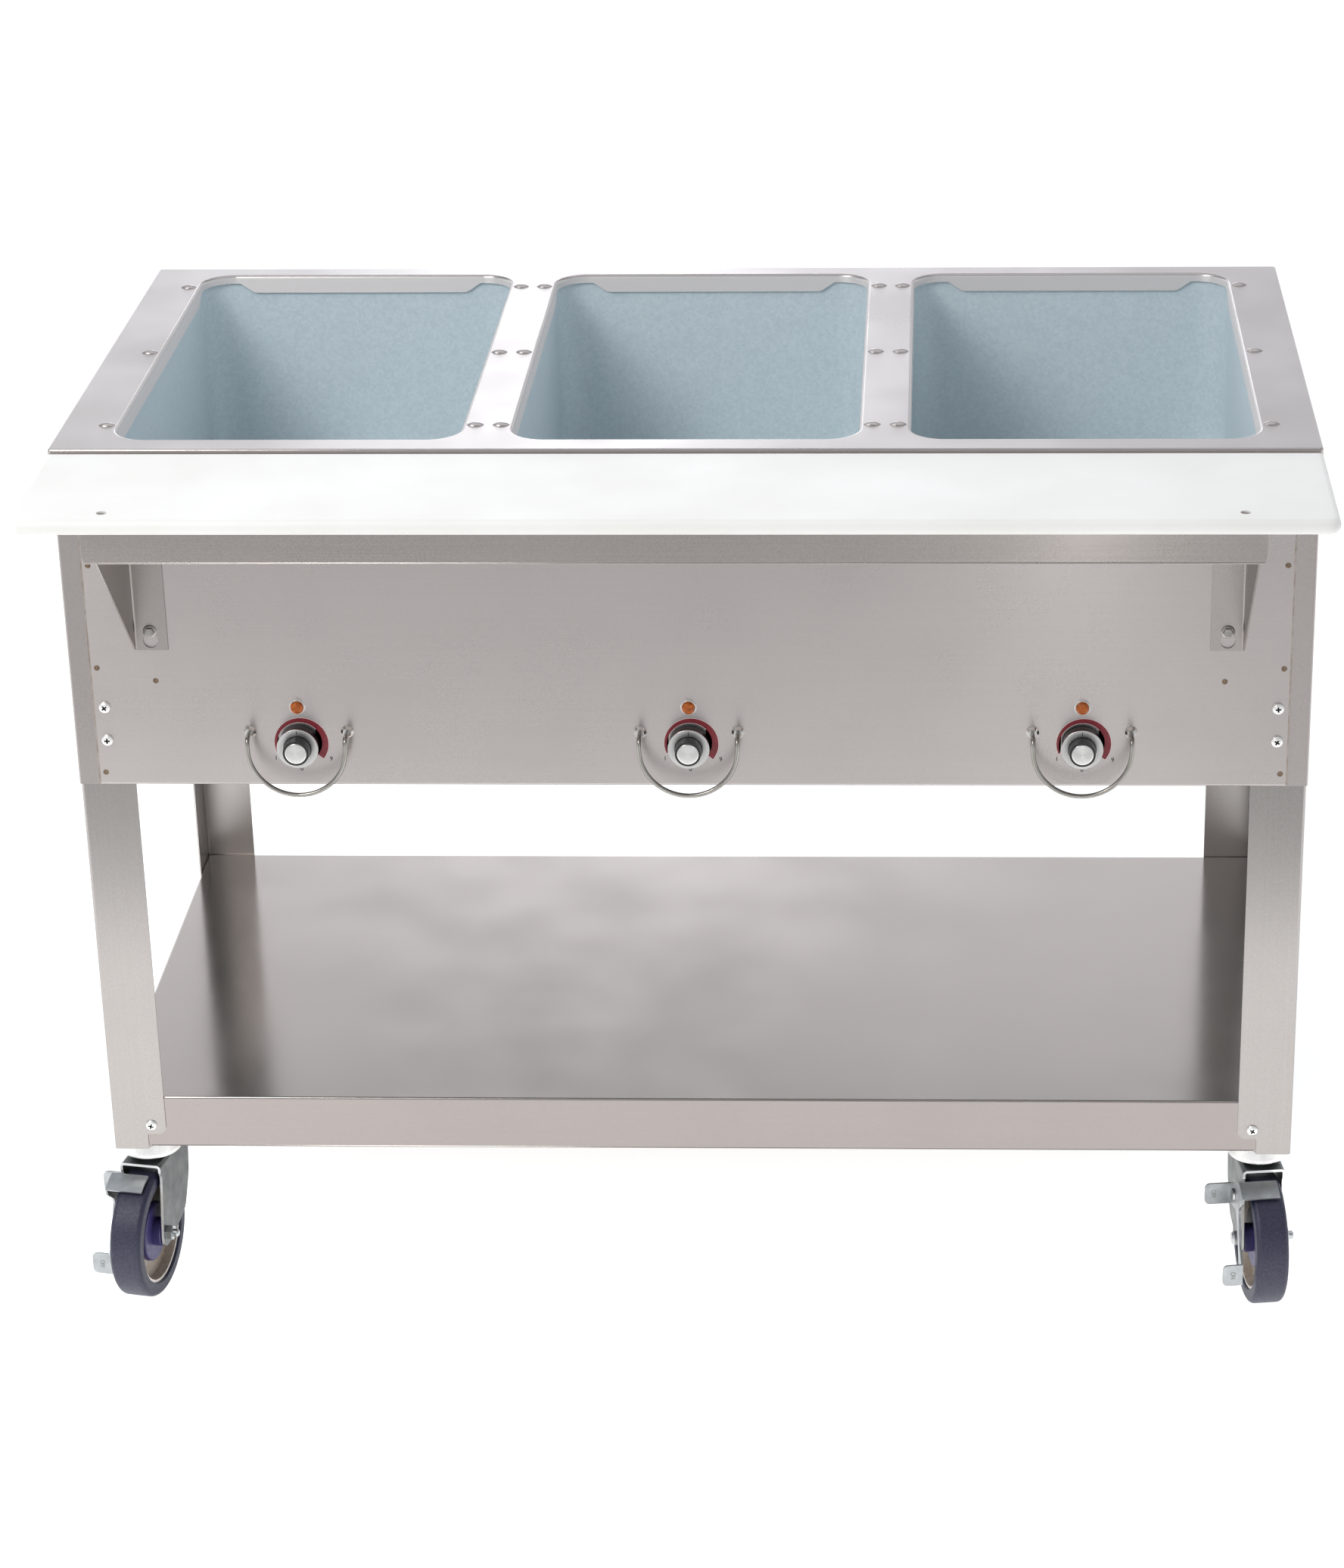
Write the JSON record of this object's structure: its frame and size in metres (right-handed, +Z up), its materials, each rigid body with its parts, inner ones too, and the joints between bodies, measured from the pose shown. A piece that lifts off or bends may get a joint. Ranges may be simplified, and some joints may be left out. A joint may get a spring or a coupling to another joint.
{
  "type": "electric steam table",
  "caption": "Stainless steel electric steam table on swivel casters with open hot wells, heat knobs behind wire guards, a front cutting board and a solid undershelf.",
  "frame": {"origin": "on the floor, below the middle of the whole table's bounding box", "axes": "+X to the right as seen from the cutting board side, +Y to the back, +Z up"},
  "size_m": [1.1592, 0.7748, 0.866],
  "materials": {
    "stainless": "fine horizontal grain, satin",
    "galvanised": "fine spangle, dull",
    "heater_sheath": "heat-tinted, matt",
    "zinc_plate": "bright zinc plate, pressed",
    "board_plastic": "white polyethylene, lightly textured",
    "knob_plastic": "black moulded",
    "knob_metal": "spun",
    "bright_steel": "polished",
    "amber_lens": "moulded, clear amber",
    "switch_case": "moulded phenolic",
    "gland_plastic": "moulded nylon",
    "wire_jacket": "woven heat-proof sleeve",
    "insulation": "mineral wool",
    "wheel_plastic": "moulded",
    "tyre_rubber": "polyurethane, satin"
  },
  "bodies": {
    "base": {"top_deck": "stainless", "front_panel": "stainless", "back_panel": "stainless", "left_end_panel": "stainless", "right_end_panel": "stainless", "bottom_panel": "stainless", "heating_elements": "heater_sheath", "well_insulation": "insulation", "undershelf": "stainless", "panel_screws": "bright_steel", "shelf_screws": "bright_steel", "board_shelf": "stainless", "board_brackets": "stainless", "bracket_bolts": "bright_steel", "switch_bodies": "switch_case", "pilot_bezels": "bright_steel", "pilot_lenses": "amber_lens", "knob_guards": "bright_steel", "guard_bosses": "bright_steel", "terminal_block": "switch_case", "cord_gland": "gland_plastic", "wiring_loom": "wire_jacket", "caster_stems": "zinc_plate", "stem_nuts": "zinc_plate", "well_left": "galvanised", "well_middle": "galvanised", "well_right": "galvanised", "front_right_leg": "stainless", "front_left_leg": "stainless", "rear_right_leg": "stainless", "rear_left_leg": "stainless"},
    "board": {"carving_board": "board_plastic"},
    "left_control": {"knob_left": "knob_plastic", "knob_trim_left": "knob_metal", "switch_shaft_left": "bright_steel"},
    "middle_control": {"knob_middle": "knob_plastic", "knob_trim_middle": "knob_metal", "switch_shaft_middle": "bright_steel"},
    "right_control": {"knob_right": "knob_plastic", "knob_trim_right": "knob_metal", "switch_shaft_right": "bright_steel"},
    "front_left_caster": {"front_left_fork": "zinc_plate", "front_left_axle": "zinc_plate"},
    "front_left_roller": {"front_left_wheel": "wheel_plastic", "front_left_tyre": "tyre_rubber"},
    "front_left_brake": {"front_left_brake_lever": "zinc_plate"},
    "front_right_caster": {"front_right_fork": "zinc_plate", "front_right_axle": "zinc_plate"},
    "front_right_roller": {"front_right_wheel": "wheel_plastic", "front_right_tyre": "tyre_rubber"},
    "front_right_brake": {"front_right_brake_lever": "zinc_plate"},
    "rear_left_caster": {"rear_left_fork": "zinc_plate", "rear_left_axle": "zinc_plate"},
    "rear_left_roller": {"rear_left_wheel": "wheel_plastic", "rear_left_tyre": "tyre_rubber"},
    "rear_right_caster": {"rear_right_fork": "zinc_plate", "rear_right_axle": "zinc_plate"},
    "rear_right_roller": {"rear_right_wheel": "wheel_plastic", "rear_right_tyre": "tyre_rubber"}
  },
  "joints": [
    {"name": "board_lift", "type": "slide", "parent": "base", "child": "board", "axis": [0, 0, 1], "range_m": [0, 0.06]},
    {"name": "left_heat", "type": "hinge", "parent": "base", "child": "left_control", "pos_m": [-0.34529, -0.2022, 0.5808], "axis": [0, 1, 0], "range_deg": [-180, 125]},
    {"name": "middle_heat", "type": "hinge", "parent": "base", "child": "middle_control", "pos_m": [0.01201, -0.2022, 0.5808], "axis": [0, 1, 0], "range_deg": [-180, 125]},
    {"name": "right_heat", "type": "hinge", "parent": "base", "child": "right_control", "pos_m": [0.36931, -0.2022, 0.5808], "axis": [0, 1, 0], "range_deg": [-180, 125]},
    {"name": "front_left_swivel", "type": "hinge", "parent": "base", "child": "front_left_caster", "pos_m": [-0.52239, -0.1654, 0.1385], "axis": [0, 0, 1], "continuous": true},
    {"name": "front_left_spin", "type": "hinge", "parent": "front_left_caster", "child": "front_left_roller", "pos_m": [-0.52749, -0.19293, 0.0635], "axis": [0.9833, -0.1822, 0], "continuous": true},
    {"name": "front_left_brake_press", "type": "hinge", "parent": "front_left_caster", "child": "front_left_brake", "pos_m": [-0.5264, -0.18703, 0.108], "axis": [0.9833, -0.1822, 0], "range_deg": [0, 4.8]},
    {"name": "front_right_swivel", "type": "hinge", "parent": "base", "child": "front_right_caster", "pos_m": [0.54641, -0.1654, 0.1385], "axis": [0, 0, 1], "continuous": true},
    {"name": "front_right_spin", "type": "hinge", "parent": "front_right_caster", "child": "front_right_roller", "pos_m": [0.54992, -0.19318, 0.0635], "axis": [0.9921, 0.1253, 0], "continuous": true},
    {"name": "front_right_brake_press", "type": "hinge", "parent": "front_right_caster", "child": "front_right_brake", "pos_m": [0.54917, -0.18723, 0.108], "axis": [0.9921, 0.1253, 0], "range_deg": [0, 4.8]},
    {"name": "rear_left_swivel", "type": "hinge", "parent": "base", "child": "rear_left_caster", "pos_m": [-0.52239, 0.3286, 0.1385], "axis": [0, 0, 1], "continuous": true},
    {"name": "rear_left_spin", "type": "hinge", "parent": "rear_left_caster", "child": "rear_left_roller", "pos_m": [-0.5185, 0.30087, 0.0635], "axis": [0.9903, 0.1392, 0], "continuous": true},
    {"name": "rear_right_swivel", "type": "hinge", "parent": "base", "child": "rear_right_caster", "pos_m": [0.54641, 0.3286, 0.1385], "axis": [0, 0, 1], "continuous": true},
    {"name": "rear_right_spin", "type": "hinge", "parent": "rear_right_caster", "child": "rear_right_roller", "pos_m": [0.54397, 0.30071, 0.0635], "axis": [0.9962, -0.0872, 0], "continuous": true}
  ]
}
